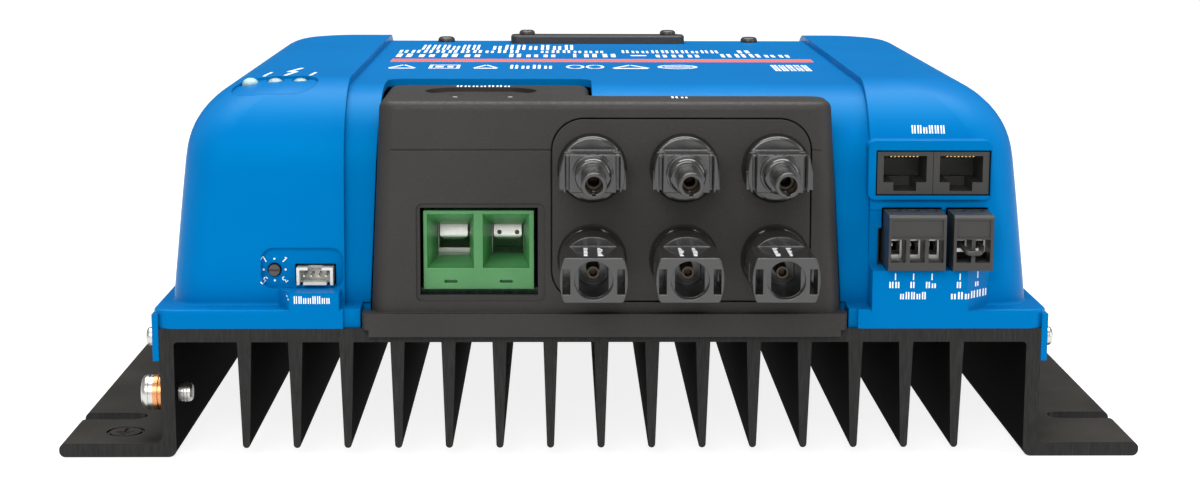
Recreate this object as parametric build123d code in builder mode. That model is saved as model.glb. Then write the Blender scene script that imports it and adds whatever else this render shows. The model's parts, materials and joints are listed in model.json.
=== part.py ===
from build123d import *
import math
import os

# A wall-mounted solar charge controller. Millimetres. The origin is in the wall plane, at the centre
# of the four mounting slots. +Z points out of the wall, and the plugs and leads enter at -Y.

os.makedirs("parts", exist_ok=True)

# Heat sink
length = 216.0
front_y = -length / 2
back_y = length / 2
flange_half = 147.5
flange_t = 3.8
wall_half = 119.5
wall_t = 3.9
plate_low = 32.0
plate_top = 35.7
fin_count = 15
fin_pitch = 13.8
fin_root = 3.9
fin_tip = 2.0
fin_low = 2.5
slot_y = 78.0
slot_w = 7.3
slot_end_x = 129.0
earth_at = (front_y + 7.5, 16.4)

# Blue cover
skirt_half = 121.3
skirt_top = 40.9
cover_top = 100.6
cover_half_x = 117.6
cover_half_y = 102.0
draft_angle = 5.2
shoulder_x = 20.0
shoulder_y = 26.0
corner_low = 9.0
corner_high = 15.0
cover_wall = 4.2
band_left = -69.8
band_right = 73.2
band_step = 2.0
tab_low = 26.8
tab_length = 20.0
cover_screw_y = 103.0
cover_screw_z = 32.6

# Black terminal cover
terminal_half = (-62.6, 65.4)
terminal_lean = (0.046, 0.0587)
terminal_top = 97.0
terminal_wall = 2.6
terminal_back = -59.5
terminal_step_x = -3.0
terminal_step_back = -88.0
lip_x = (-64.6, 66.5)
lip_front = front_y - 2.0
seam_z = 84.1

# Panel connectors
panel_centre = (21.35, 67.9)
panel_size = (69.3, 49.0)
panel_corner = 8.4
panel_t = 3.4
panel_rim_t = 1.6
connector_x = (-2.6, 22.1, 46.8)
nose_z = 79.3
sleeve_z = 54.8
connector_tip = -138.0
flange_r = 8.9
nose_block_y = -117.0
thread_r = 7.2
nut_r = 9.6

# Battery terminal
battery_x = (-40.8, -25.8)
battery_y = -77.0
battery_block_x = (-48.1, -18.3)
battery_low = 46.0
battery_top = 67.5
cage_rise = (1.6, 0.0)

# Boards
inductor_x = (-38.0, 22.0)
inductor_y = 10.0
turns = 18
winding_r = 14.5
board_low = 44.4
board_top = 46.0
control_low = 49.3
control_top = 50.9
data_low = 69.7
data_top = 71.3

# Pluggable terminal blocks
pole_pitch = 5.08
plug_z = (52.2, 67.2)
plug_front = -111.0
plug_step = -99.5
plug_back = -88.2
plug_nose_top = 61.6
plug_cell_y = -102.3
header_front = -95.6
header_back = -86.4
header_wall = 0.6
plug_gap = 0.3
plugs = {
    "relay": {"x": (76.9, 92.4), "poles": 3, "closed": 0.0},
    "remote": {"x": (94.4, 105.1), "poles": 2, "closed": 1.8},
}

# Round switch and data sockets
dial_x = -89.0
dial_z = 50.4
dial_hole_r = 1.9
dial_r = 1.55
port_x = (-83.4, -72.3)
port_z = (46.0, 52.0)
jack_x = ((74.9, 90.1), (90.2, 105.4))
jack_z = (71.3, 83.0)
jack_y = (-100.0, -82.0)
lamp_x = (-97.9, -90.9, -83.9)
lamp_y = -74.0
lamp_r = 2.35
lamp_centre_z = 99.5
recess_y = -79.0

# Top fittings
strip_x = (-28.0, 31.3)
strip_y = (61.0, 70.0)
strip_t = 2.8
strip_screw_x = (-22.5, 25.7)
top_screw_x = (-50.3, 54.0)
top_screw_y = 69.0
band_top = cover_top - band_step

slope = math.tan(math.radians(draft_angle))


def block(x, y, z, mode=Mode.ADD):
    """A box between two values on each axis."""
    with Locations(((x[0] + x[1]) / 2, (y[0] + y[1]) / 2, (z[0] + z[1]) / 2)):
        Box(x[1] - x[0], y[1] - y[0], z[1] - z[0], mode=mode)


def rod(axis, centre, radius, span, mode=Mode.ADD):
    """A round rod along one axis, between two values on it."""
    middle = (span[0] + span[1]) / 2
    turn = {"x": (0, 90, 0), "y": (90, 0, 0), "z": (0, 0, 0)}[axis]
    place = {
        "x": (middle, centre[0], centre[1]),
        "y": (centre[0], middle, centre[1]),
        "z": (centre[0], centre[1], middle),
    }[axis]
    with Locations(Location(place, turn)):
        Cylinder(radius, span[1] - span[0], mode=mode)


def corners(vertices, *spots):
    """The vertices of a flat profile that lie at the given places."""
    return [v for v in vertices for s in spots if math.hypot(v.X - s[0], v.Y - s[1]) < 0.05]


def save(builder, name):
    """Label a finished piece and write it under its node's name."""
    builder.part.label = name
    export_step(builder.part, f"parts/{name}.step")


# ---------------------------------------------------------------- heat sink

with BuildPart() as heat_sink:
    with BuildSketch(Plane.XZ):
        with Locations((0, (plate_low + plate_top) / 2)):
            Rectangle(2 * wall_half, plate_top - plate_low)
        for side in (-1, 1):
            with Locations((side * (wall_half - wall_t / 2), plate_top / 2)):
                Rectangle(wall_t, plate_top)
            with Locations((side * (flange_half + wall_half - wall_t) / 2, flange_t / 2)):
                Rectangle(flange_half - wall_half + wall_t, flange_t)
        profile = vertices()
        tips = corners(profile, (flange_half, 0), (flange_half, flange_t))
        tips += corners(profile, (-flange_half, 0), (-flange_half, flange_t))
        fillet(tips, 1.7)
        bends = corners(vertices(), (wall_half, flange_t), (-wall_half, flange_t))
        bends += corners(vertices(), (wall_half - wall_t, 0), (wall_t - wall_half, 0))
        fillet(bends, 2.2)
        inner = corners(vertices(), (wall_half - wall_t, plate_low), (wall_t - wall_half, plate_low))
        fillet(inner, 1.0)
        for i in range(fin_count):
            x = (i - (fin_count - 1) / 2) * fin_pitch
            with BuildLine():
                Polyline(
                    (x - fin_root / 2, plate_low + 1),
                    (x - fin_root / 2, plate_low),
                    (x - fin_tip / 2, fin_low + fin_tip / 2),
                    (x + fin_tip / 2, fin_low + fin_tip / 2),
                    (x + fin_root / 2, plate_low),
                    (x + fin_root / 2, plate_low + 1),
                    close=True,
                )
            make_face()
            with Locations((x, fin_low + fin_tip / 2)):
                Circle(fin_tip / 2)
    extrude(amount=length / 2, both=True)
    # open slots for the wall screws
    with BuildSketch(Plane.XY.offset(-1)):
        for side in (-1, 1):
            for y in (-slot_y, slot_y):
                with Locations((side * (slot_end_x + slot_w / 2), y)):
                    Circle(slot_w / 2)
                with Locations((side * (slot_end_x + slot_w / 2 + 15), y)):
                    Rectangle(30, slot_w)
    extrude(amount=flange_t + 2, mode=Mode.SUBTRACT)
    # sunk earth mark beside the earth screw
    with BuildSketch(Plane.XY.offset(flange_t - 0.5)):
        with Locations((-131.9, front_y + 13)):
            Circle(5.2)
            Circle(4.4, mode=Mode.SUBTRACT)
            Rectangle(0.8, 3.4, align=(Align.CENTER, Align.MIN))
            for drop, width in ((0.4, 5.0), (1.7, 3.2), (3.0, 1.5)):
                with Locations((0, -drop)):
                    Rectangle(width, 0.7)
    extrude(amount=1, mode=Mode.SUBTRACT)
    # screw holes in the side walls
    rod("x", earth_at, 2.5, (-wall_half - 1, wall_t - wall_half + 1), Mode.SUBTRACT)
    for side in (-1, 1):
        for y in (-cover_screw_y, cover_screw_y):
            depth = sorted((side * (wall_half + 1), side * (wall_half - 3.2)))
            rod("x", (y, cover_screw_z), 1.5, depth, Mode.SUBTRACT)
    # blind holes for the board spacers
    with Locations((0, 0, plate_top - 1.25)):
        with GridLocations(204, 150, 2, 2):
            Cylinder(1.5, 2.5, mode=Mode.SUBTRACT)
save(heat_sink, "heat_sink")


# ---------------------------------------------------------------- blue cover

def wall_at(z, base, radius, inset):
    """Half width at height z: a drafted wall that turns into a round shoulder."""
    centre_z = cover_top - radius
    round_r = radius - inset
    angle = math.radians(draft_angle)
    tangent_z = centre_z + radius * math.sin(angle)
    centre = base - (tangent_z - skirt_top) * slope - radius * math.cos(angle)
    if z <= centre_z + round_r * math.sin(angle):
        return base - inset / math.cos(angle) - (z - skirt_top) * slope
    return centre + math.sqrt(max(round_r ** 2 - (z - centre_z) ** 2, 0))


def housing(inset):
    """The solid block of the housing, set in by the same amount all over."""
    centre_z = cover_top - shoulder_y
    heights = [plate_top - 1, 44, 53, 62, 69, 74]
    for angle in (5, 18, 31, 44, 57, 69, 80, 90):
        heights.append(centre_z + (shoulder_y - inset) * math.sin(math.radians(angle)))
    with BuildPart() as body:
        for z in heights:
            half_x = wall_at(z, cover_half_x, shoulder_x, inset)
            half_y = wall_at(z, cover_half_y, shoulder_y, inset)
            grow = (z - heights[0]) / (heights[-1] - heights[0])
            corner = corner_low + (corner_high - corner_low) * grow ** 3 - inset * 0.6
            with BuildSketch(Plane.XY.offset(z)):
                RectangleRounded(2 * half_x, 2 * half_y, corner)
        loft()
    return body.part


def terminal_outline(z, grow, back):
    """Corners of the black cover's plan at height z, grown by a clearance."""
    rise = z - plate_top
    left = terminal_half[0] + rise * terminal_lean[0] - grow
    right = terminal_half[1] - rise * terminal_lean[1] + grow
    front = terminal_front(z) - grow
    step = terminal_step_x + grow
    return [
        (left, front),
        (right, front),
        (right, terminal_step_back + grow + back),
        (step, terminal_step_back + grow + back),
        (step, terminal_back + grow + back),
        (left, terminal_back + grow + back),
    ]


def terminal_front(z):
    """Where the black cover's sloped front stands at height z."""
    return front_y - 0.2 + (z - plate_top) * 0.0522


def terminal_block(low, high, grow, back=0.0, corner=5.0):
    """The solid block of the black cover between two heights."""
    with BuildPart() as body:
        for z in (low, high):
            with BuildSketch(Plane.XY.offset(z)) as plan:
                with BuildLine():
                    Polyline(*terminal_outline(z, grow, back), close=True)
                make_face()
                spots = terminal_outline(z, grow, back)
                fillet(corners(plan.vertices(), spots[3]), 3.0)
                fillet(corners(plan.vertices(), *spots[:3], *spots[4:]), corner)
        loft(ruled=True)
    return body.part


outer_body = housing(0)
band_body = housing(band_step)
cavity_body = housing(cover_wall)
terminal_hole = terminal_block(plate_top - 2, cover_top + 3, 0.6)

with BuildPart() as band_cut:
    block((band_left, band_right), (-140, 140), (skirt_top, cover_top + 10))
    add(band_body, mode=Mode.SUBTRACT)

with BuildPart() as lamp_recess:
    with BuildSketch(Plane.XY.offset(88)):
        with Locations((lamp_x[1] + 0.4, recess_y)):
            SlotOverall(24.0, 14.0)
    extrude(amount=20)
    add(housing(0.8), mode=Mode.SUBTRACT)

with BuildPart() as cover:
    add(outer_body)
    with BuildSketch(Plane.XY.offset(plate_top)):
        RectangleRounded(2 * skirt_half, length, 5)
    extrude(amount=skirt_top - plate_top)
    fillet(edges().filter_by_position(Axis.Z, skirt_top - 0.01, skirt_top + 0.01), 0.8)
    # the band between the shoulders lies lower
    add(band_cut.part, mode=Mode.SUBTRACT)
    for edge_y in (front_y, back_y):
        near = sorted((edge_y * 1.1, edge_y - math.copysign(1.3, edge_y)))
        block((-69.8, 69.5), near, (plate_top - 1, skirt_top + 1), Mode.SUBTRACT)
    # proud pads below the data port and below the plugs
    with BuildSketch(Plane.XY.offset(plate_top)):
        with BuildLine():
            Polyline(
                (-70.8, front_y),
                (-84.2, front_y),
                (-88.2, front_y + 7),
                (-70.8, front_y + 7),
                close=True,
            )
        make_face()
    extrude(amount=port_z[0] - 0.5 - plate_top)
    with BuildSketch(Plane.XY.offset(plate_top)):
        with BuildLine():
            Polyline(
                (band_right, front_y),
                (99.0, front_y),
                (107.0, front_y + 7.5),
                (107.0, front_y + 9),
                (band_right, front_y + 9),
                close=True,
            )
        make_face()
    extrude(amount=plug_z[0] - 0.5 - plate_top)
    # raised rim round the two data jacks
    with BuildSketch(Plane.XZ.offset(100.6)):
        with Locations((89.2, 77.9)):
            RectangleRounded(33.6, 16.2, 2.0)
    extrude(amount=-8)
    # hollow inside, open to the heat sink
    add(cavity_body, mode=Mode.SUBTRACT)
    block((-wall_half - 0.05, wall_half + 0.05), (-120, 120), (plate_top - 5, plate_top), Mode.SUBTRACT)
    block((-112, 112), (-95, 95), (plate_top - 2, skirt_top + 1), Mode.SUBTRACT)
    # side tabs that screw to the heat sink
    for side in (-1, 1):
        for end in (-1, 1):
            tab_x = sorted((side * (wall_half + 0.1), side * skirt_half))
            tab_y = sorted((end * length / 2, end * (length / 2 - tab_length)))
            block(tab_x, tab_y, (tab_low, skirt_top - 1.2))
            hole = sorted((side * (wall_half - 1), side * (skirt_half + 1)))
            rod("x", (end * cover_screw_y, cover_screw_z), 1.5, hole, Mode.SUBTRACT)
    # the black terminal cover's opening
    add(terminal_hole, mode=Mode.SUBTRACT)
    lip_gap = (lip_x[0] - 0.6, lip_x[1] + 0.6)
    block(lip_gap, (lip_front - 2, front_y + 9.4), (0, skirt_top + 0.4), Mode.SUBTRACT)
    # shallow flat pockets round the data port and the plugs
    with BuildSketch(Plane.XZ.offset(106)):
        with Locations((-81.3, 51.0)):
            RectangleRounded(22.4, 11.0, 3.4)
        with Locations((88.9, 59.3)):
            RectangleRounded(36.2, 15.2, 2.6)
    extrude(amount=-6.6, mode=Mode.SUBTRACT)
    # holes for the sockets, plugs and switch
    block(port_x, (-112, -90), port_z, Mode.SUBTRACT)
    block((74.5, 105.8), (-112, -90), (70.95, 83.4), Mode.SUBTRACT)
    for plug in plugs.values():
        wide = (plug["x"][0] - 0.4, plug["x"][1] + 0.4)
        block(wide, (-112, -90), (plug_z[0] - 0.5, plug_z[1] + 0.4), Mode.SUBTRACT)
    block((75.6, 92.8), (-112, -90), (plug_z[0] - 0.5, plug_nose_top + 0.3), Mode.SUBTRACT)
    rod("y", (dial_x, dial_z), dial_hole_r, (-112, -90), Mode.SUBTRACT)
    # lamps, display slot and screw holes in the top
    add(lamp_recess.part, mode=Mode.SUBTRACT)
    with BuildSketch(Plane.XY.offset(80)):
        for x in lamp_x:
            with Locations((x, lamp_y)):
                Circle(lamp_r + 0.15)
        with Locations(((strip_x[0] + strip_x[1]) / 2, (strip_y[0] + strip_y[1]) / 2)):
            Rectangle(34, 5.4)
        for x in strip_screw_x:
            with Locations((x, (strip_y[0] + strip_y[1]) / 2)):
                Circle(1.25)
        for x in top_screw_x:
            with Locations((x, top_screw_y)):
                Circle(1.25)
    extrude(amount=30, mode=Mode.SUBTRACT)
save(cover, "cover")


# ---------------------------------------------------------------- black terminal cover

face = Plane(
    origin=(0, terminal_front(66), 66),
    x_dir=(1, 0, 0),
    z_dir=(0, -1, 0.0522),
)
access_y = battery_y

with BuildPart() as terminal_cover:
    add(terminal_block(plate_top, terminal_top, 0.0))
    fillet(faces().sort_by(Axis.Z)[-1].edges(), 2.2)
    ceiling = terminal_top - terminal_wall
    hollow = terminal_block(plate_top - 1, ceiling, -terminal_wall, terminal_wall + 5, 2.0)
    add(hollow, mode=Mode.SUBTRACT)
    # inside the blue cover the side walls stop above the board
    block((-80, 80), (-97, -40), (plate_top - 1, 52), Mode.SUBTRACT)
    # base lip that hooks in front of the heat sink
    with BuildSketch(Plane.XY.offset(plate_top)):
        with Locations(((lip_x[0] + lip_x[1]) / 2, (lip_front + front_y + 3.5) / 2)):
            Rectangle(lip_x[1] - lip_x[0], front_y + 3.5 - lip_front)
        fillet(vertices().sort_by(Axis.Y)[:2], 1.8)
    extrude(amount=4.5)
    block((lip_x[0] + 1.8, lip_x[1] - 1.8), (lip_front, front_y), (plate_top - 1.9, plate_top + 0.5))
    # frame and mouth for the battery leads
    with BuildSketch(face.offset(0.5)):
        with Locations((-32.6, -9.65)):
            RectangleRounded(34.6, 26.7, 1.8)
    extrude(amount=-1.1, mode=Mode.SUBTRACT)
    block((-48.9, -17.2), (-112, -100), (44.8, 68.5), Mode.SUBTRACT)
    # opening for the connector panel
    with BuildSketch(face.offset(1)):
        with Locations((panel_centre[0], panel_centre[1] - 66)):
            RectangleRounded(panel_size[0] + 0.8, panel_size[1] + 0.8, panel_corner + 0.4)
    extrude(amount=-7, mode=Mode.SUBTRACT)
    # shallow seam across the front
    with BuildSketch(face.offset(0.3)):
        with Locations((0, seam_z - 66)):
            Rectangle(160, 0.45)
    extrude(amount=-0.6, mode=Mode.SUBTRACT)
    # sunk bed with two screwdriver holes
    with BuildSketch(Plane.XY.offset(terminal_top - 1.3)):
        with Locations(((battery_x[0] + battery_x[1]) / 2, access_y)):
            SlotOverall(31, 19)
    extrude(amount=3, mode=Mode.SUBTRACT)
    with BuildSketch(Plane.XY.offset(terminal_top - 6)):
        for x in battery_x:
            with Locations((x, access_y)):
                Circle(4.0)
    extrude(amount=8, mode=Mode.SUBTRACT)
save(terminal_cover, "terminal_cover")


# ---------------------------------------------------------------- connector panel and connectors

def seat_y(z):
    """The flat seat that a connector's flange lies against."""
    return terminal_front(z) + 0.6


with BuildPart() as pv_panel:
    with BuildSketch(face):
        with Locations((panel_centre[0], panel_centre[1] - 66)):
            RectangleRounded(*panel_size, panel_corner)
    extrude(amount=-panel_t)
    # rim behind the terminal cover that keeps the panel from pushing out
    with BuildSketch(face.offset(-terminal_wall - 0.1)):
        with Locations((panel_centre[0] - 0.3, panel_centre[1] - 66)):
            RectangleRounded(panel_size[0] + 2.2, panel_size[1] + 1.6, panel_corner)
    extrude(amount=-panel_rim_t)
    for x in connector_x:
        for z in (nose_z, sleeve_z):
            rod("y", (x, z), flange_r + 0.3, (-115, seat_y(z)), Mode.SUBTRACT)
            rod("y", (x, z), thread_r + 0.1, (-115, -95), Mode.SUBTRACT)
save(pv_panel, "pv_panel")


def connector_face(half_x, half_z, bulge):
    """Outline of a connector block: flat top and bottom, bulged sides."""
    with BuildSketch() as outline:
        with BuildLine():
            Line((-half_x, -half_z), (half_x, -half_z))
            ThreePointArc((half_x, -half_z), (half_x + bulge, 0), (half_x, half_z))
            Line((half_x, half_z), (-half_x, half_z))
            ThreePointArc((-half_x, half_z), (-half_x - bulge, 0), (-half_x, -half_z))
        make_face()
        fillet(outline.vertices(), 0.7)
    return outline.sketch


def connector_plane(x, y, z):
    """A plane across a connector's axis; its normal points out of the panel."""
    return Plane(origin=(x, y, z), x_dir=(1, 0, 0), z_dir=(0, -1, 0))


def pv_nose(x):
    """Upper connector: a nose with a socket contact, between two latch arms."""
    seat = seat_y(nose_z)
    with BuildPart() as body:
        rod("y", (x, nose_z), flange_r, (seat - 3.2, seat - 0.6))
        fillet(edges().filter_by(GeomType.CIRCLE).sort_by(Axis.Y)[0], 0.9)
        rod("y", (x, nose_z), thread_r, (seat - 1, -94))
        with BuildSketch(connector_plane(x, seat - 3.0, nose_z)):
            add(connector_face(7.5, 5.1, 0.95))
        extrude(amount=seat - 3.0 - nose_block_y)
        rod("y", (x, nose_z), 5.3, (nose_block_y - 1.4, nose_block_y + 1))
        rod("y", (x, nose_z), 4.8, (nose_block_y - 6.0, nose_block_y + 1))
        fillet(edges().filter_by(GeomType.CIRCLE).sort_by(Axis.Y)[0], 1.1)
        rod("y", (x, nose_z), 3.3, (connector_tip, nose_block_y))
        fillet(edges().filter_by(GeomType.CIRCLE).sort_by(Axis.Y)[0], 0.35)
        # latch arms stand clear of the block on both sides
        for side in (-1, 1):
            slot = sorted((x + side * 6.1, x + side * 7.2))
            block(slot, (nose_block_y - 1, nose_block_y + 5), (nose_z - 6, nose_z + 6), Mode.SUBTRACT)
            hook = sorted((x + side * 7.3, x + side * 8.8))
            block(hook, (nose_block_y + 0.8, nose_block_y + 3.2), (nose_z - 4.4, nose_z + 0.6))
            notch = sorted((x + side * 5.6, x + side * 7.6))
            block(notch, (nose_block_y + 4.2, nose_block_y + 6), (nose_z + 4.2, nose_z + 6), Mode.SUBTRACT)
        # socket hole with its key groove
        rod("y", (x, nose_z), 2.3, (connector_tip - 1, -118), Mode.SUBTRACT)
        block((x - 0.5, x + 0.5), (connector_tip - 1, -131), (nose_z - 2.8, nose_z), Mode.SUBTRACT)
        rod("y", (x, nose_z), 1.3, (-118.5, -93), Mode.SUBTRACT)
    return body


def pv_sleeve(x):
    """Lower connector: a sleeve round a pin contact, with two latch slots."""
    seat = seat_y(sleeve_z)
    with BuildPart() as body:
        rod("y", (x, sleeve_z), flange_r, (seat - 3.2, seat - 0.6))
        fillet(edges().filter_by(GeomType.CIRCLE).sort_by(Axis.Y)[0], 0.9)
        rod("y", (x, sleeve_z), thread_r, (seat - 1, -94))
        rod("y", (x, sleeve_z), 8.5, (-121.5, seat - 2))
        with BuildSketch(connector_plane(x, -119.5, sleeve_z)):
            add(connector_face(7.6, 5.8, 1.1))
        extrude(amount=-119.5 - connector_tip)
        rod("y", (x, sleeve_z), 5.0, (connector_tip - 1, -136.2), Mode.SUBTRACT)
        # deeper in, two flats narrow the bore
        with BuildSketch(connector_plane(x, -136.5, sleeve_z)):
            Circle(4.75)
            Rectangle(7.6, 12, mode=Mode.INTERSECT)
        extrude(amount=-17, mode=Mode.SUBTRACT)
        for side in (-1, 1):
            slot = sorted((x + side * 6.0, x + side * 8.0))
            block(slot, (connector_tip - 1, -124), (sleeve_z - 3.7, sleeve_z + 2.9), Mode.SUBTRACT)
            window = sorted((x + side * 5.9, x + side * 9.6))
            block(window, (-128.5, -124), (sleeve_z - 3.0, sleeve_z + 2.4), Mode.SUBTRACT)
            ease = sorted((x + side * 7.5, x + side * 10))
            block(ease, (-122.6, -119), (sleeve_z - 6, sleeve_z - 1), Mode.SUBTRACT)
        rod("y", (x, sleeve_z), 1.6, (-120, -93), Mode.SUBTRACT)
    return body


for number, x in enumerate(connector_x, start=1):
    save(pv_nose(x), f"pv_nose_{number}")
    save(pv_sleeve(x), f"pv_sleeve_{number}")

with BuildPart() as pv_contacts:
    for x in connector_x:
        rod("y", (x, nose_z), 2.2, (-130.0, -118.0))
        rod("y", (x, nose_z), 1.3, (-118.5, -90))
        rod("y", (x, nose_z), 1.5, (-131, -121), Mode.SUBTRACT)
        rod("y", (x, sleeve_z), 1.6, (-127.0, -90))
        rod("y", (x, sleeve_z), 1.1, (-128, -123), Mode.SUBTRACT)
save(pv_contacts, "pv_contacts")

with BuildPart() as pv_seals:
    for x in connector_x:
        for z in (nose_z, sleeve_z):
            rod("y", (x, z), flange_r - 0.3, (seat_y(z) - 0.6, seat_y(z)))
            rod("y", (x, z), thread_r, (seat_y(z) - 1, seat_y(z) + 1), Mode.SUBTRACT)
save(pv_seals, "pv_seals")

with BuildPart() as pv_nuts:
    for x in connector_x:
        for z in (nose_z, sleeve_z):
            behind = terminal_front(z + nut_r) + terminal_wall + panel_rim_t + 0.2
            with BuildSketch(connector_plane(x, behind + 3.6, z)):
                RegularPolygon(nut_r, 6)
                Circle(thread_r, mode=Mode.SUBTRACT)
            extrude(amount=3.6)
save(pv_nuts, "pv_nuts")


# ---------------------------------------------------------------- battery terminal

with BuildPart() as battery_block:
    block(battery_block_x, (-104.6, -88), (battery_low, battery_top))
    block(battery_block_x, (-88.5, -66), (battery_low, 86))
    for x in battery_x:
        # funnel that guides a bare lead into the cage
        with BuildSketch(connector_plane(x, -104.7, 59.2)):
            Rectangle(12.6, 14.8)
        with BuildSketch(connector_plane(x, -87, 56.5)):
            Rectangle(8.9, 8.8)
        loft(mode=Mode.SUBTRACT)
        block((x - 4.45, x + 4.45), (-88, -82), (52.1, 60.9), Mode.SUBTRACT)
        # chamber of the rising cage, and the screw's shaft above it
        block((x - 5.4, x + 5.4), (-83.0, -71.2), (48.6, 75.0), Mode.SUBTRACT)
        rod("z", (x, battery_y), 3.2, (74, 80), Mode.SUBTRACT)
        rod("z", (x, battery_y), 4.3, (78, 87), Mode.SUBTRACT)
        block((x - 4.1, x + 4.1), (-72, -65), (57.9, 61.1), Mode.SUBTRACT)
        # small test slot under the funnel
        block((x - 1.7, x + 1.7), (-105, -103), (47.7, 48.5), Mode.SUBTRACT)
save(battery_block, "battery_block")

for number, (x, rise) in enumerate(zip(battery_x, cage_rise), start=1):
    with BuildPart() as battery_cage:
        block((x - 5.1, x + 5.1), (-82.2, -71.8), (49.8 + rise, 68.6 + rise))
        block((x - 4.3, x + 4.3), (-83, -71), (51.8 + rise, 65.2 + rise), Mode.SUBTRACT)
        rod("z", (x, battery_y), 3.05, (60, 72), Mode.SUBTRACT)
    save(battery_cage, f"battery_cage_{number}")

    with BuildPart() as battery_screw:
        rod("z", (x, battery_y), 3.0, (61.8, 78.5))
        rod("z", (x, battery_y), 4.0, (78.0, 82.5))
        chamfer(edges().filter_by(GeomType.CIRCLE).sort_by(Axis.Z)[-1], 0.5)
        block((x - 5, x + 5), (battery_y - 0.6, battery_y + 0.6), (80.6, 83), Mode.SUBTRACT)
    save(battery_screw, f"battery_screw_{number}")

with BuildPart() as battery_bars:
    for x in battery_x:
        block((x - 3.9, x + 3.9), (-84.6, -60), (58.1, 60.9))
        fillet(edges().filter_by(Axis.X).group_by(Axis.Y)[0].sort_by(Axis.Z)[0], 1.8)
        block((x - 3.9, x + 3.9), (-62.8, -60), (board_top, 60.9))
        for side in (-2.4, 2.4):
            rod("y", (x + side, 59.6), 0.45, (-85, -84), Mode.SUBTRACT)
save(battery_bars, "battery_bars")


# ---------------------------------------------------------------- pluggable terminal blocks

def pole_positions(plug):
    """X of each pole of a plug, centred in its body."""
    middle = (plug["x"][0] + plug["x"][1]) / 2
    return [middle + (i - (plug["poles"] - 1) / 2) * pole_pitch for i in range(plug["poles"])]


def plug_header(plug):
    """Open box on the control board that a plug pushes into."""
    inside_x = (plug["x"][0] - plug_gap, plug["x"][1] + plug_gap)
    inside_z = (plug_z[0] - plug_gap, plug_nose_top + plug_gap)
    with BuildPart() as body:
        outside_x = (inside_x[0] - header_wall, inside_x[1] + header_wall)
        block(outside_x, (header_front, header_back), (control_top, inside_z[1] + header_wall))
        block(inside_x, (header_front - 1, header_back - 1.4), inside_z, Mode.SUBTRACT)
        for x in pole_positions(plug):
            block((x - 0.5, x + 0.5), (-89, -85), (56.5, 57.5), Mode.SUBTRACT)
    return body


def plug_body(plug):
    """Pluggable block: front with wire mouths, narrower nose behind."""
    with BuildPart() as body:
        block(plug["x"], (plug_front, plug_step), plug_z)
        chamfer(edges().filter_by(Axis.X).group_by(Axis.Y)[0].sort_by(Axis.Z)[-1], 0.7)
        block(plug["x"], (plug_step - 1, plug_back), (plug_z[0], plug_nose_top))
        # upper front panel is set back by a hair between thin side ribs
        ribs = (plug["x"][0] + 0.9, plug["x"][1] - 0.9)
        block(ribs, (plug_front - 1, plug_front + 0.45), (61.1, 65.9), Mode.SUBTRACT)
        for x in pole_positions(plug):
            block((x - 2.0, x + 2.0), (plug_front - 1, -103), (54.4, 60.7), Mode.SUBTRACT)
            block((x - 2.15, x + 2.15), (-104.5, -100.1), (54.0, 64.0), Mode.SUBTRACT)
            rod("z", (x, plug_cell_y), 1.35, (63, 66), Mode.SUBTRACT)
            rod("z", (x, plug_cell_y), 1.9, (64.6, 68), Mode.SUBTRACT)
            block((x - 1.0, x + 1.0), (-101, plug_back + 1), (55.9, 58.1), Mode.SUBTRACT)
            block((x - 1.3, x + 1.3), (-101, -98), (59.1, 60.1), Mode.SUBTRACT)
    return body


def plug_cage(x, rise):
    """Rising cage that pulls a wire up against the fixed bar."""
    with BuildPart() as body:
        block((x - 1.9, x + 1.9), (-104.2, -100.4), (54.3 + rise, 61.8 + rise))
        block((x - 1.35, x + 1.35), (-105, -100), (55.4 + rise, 60.5 + rise), Mode.SUBTRACT)
        rod("z", (x, plug_cell_y), 1.2, (59, 66), Mode.SUBTRACT)
    return body


def plug_screw(x):
    """Captive clamp screw with a slotted head."""
    with BuildPart() as body:
        rod("z", (x, plug_cell_y), 1.15, (60.3, 65.0))
        rod("z", (x, plug_cell_y), 1.75, (64.7, 66.4))
        block((x - 2, x + 2), (plug_cell_y - 0.3, plug_cell_y + 0.3), (65.7, 67), Mode.SUBTRACT)
    return body


for name, plug in plugs.items():
    save(plug_header(plug), f"{name}_header")
    save(plug_body(plug), f"{name}_plug")
    for number, x in enumerate(pole_positions(plug), start=1):
        save(plug_cage(x, plug["closed"]), f"{name}_cage_{number}")
        save(plug_screw(x), f"{name}_screw_{number}")
    with BuildPart() as contact_bars:
        for x in pole_positions(plug):
            block((x - 1.2, x + 1.2), (-103.9, -98.2), (59.2, 60.0))
    save(contact_bars, f"{name}_bars")

with BuildPart() as header_pins:
    for plug in plugs.values():
        for x in pole_positions(plug):
            block((x - 0.45, x + 0.45), (-97.5, -84), (56.55, 57.45))
            block((x - 0.45, x + 0.45), (-85, -84), (control_top - 3, 57.45))
save(header_pins, "header_pins")

link_x = pole_positions(plugs["remote"])
link_z = 58.3
with BuildPart() as wire_link:
    with BuildLine() as link_path:
        FilletPolyline(
            (link_x[0], -103.6, link_z),
            (link_x[0], -109.0, link_z),
            (link_x[0] + 0.9, -112.2, link_z - 1.1),
            (link_x[1] - 0.9, -112.2, link_z - 1.1),
            (link_x[1], -109.0, link_z),
            (link_x[1], -103.6, link_z),
            radius=0.95,
        )
    with BuildSketch(Plane(origin=link_path.line @ 0, z_dir=link_path.line % 0)):
        Circle(0.7)
    sweep()
save(wire_link, "wire_link")


# ---------------------------------------------------------------- switch, data port and data jacks

with BuildPart() as rotary_switch_body:
    block((dial_x - 3.7, dial_x + 3.7), (-95.4, -90.5), (board_top, dial_z + 3.7))
    rod("y", (dial_x, dial_z), dial_r + 0.05, (-97, -92.5), Mode.SUBTRACT)
save(rotary_switch_body, "rotary_switch_body")

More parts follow.
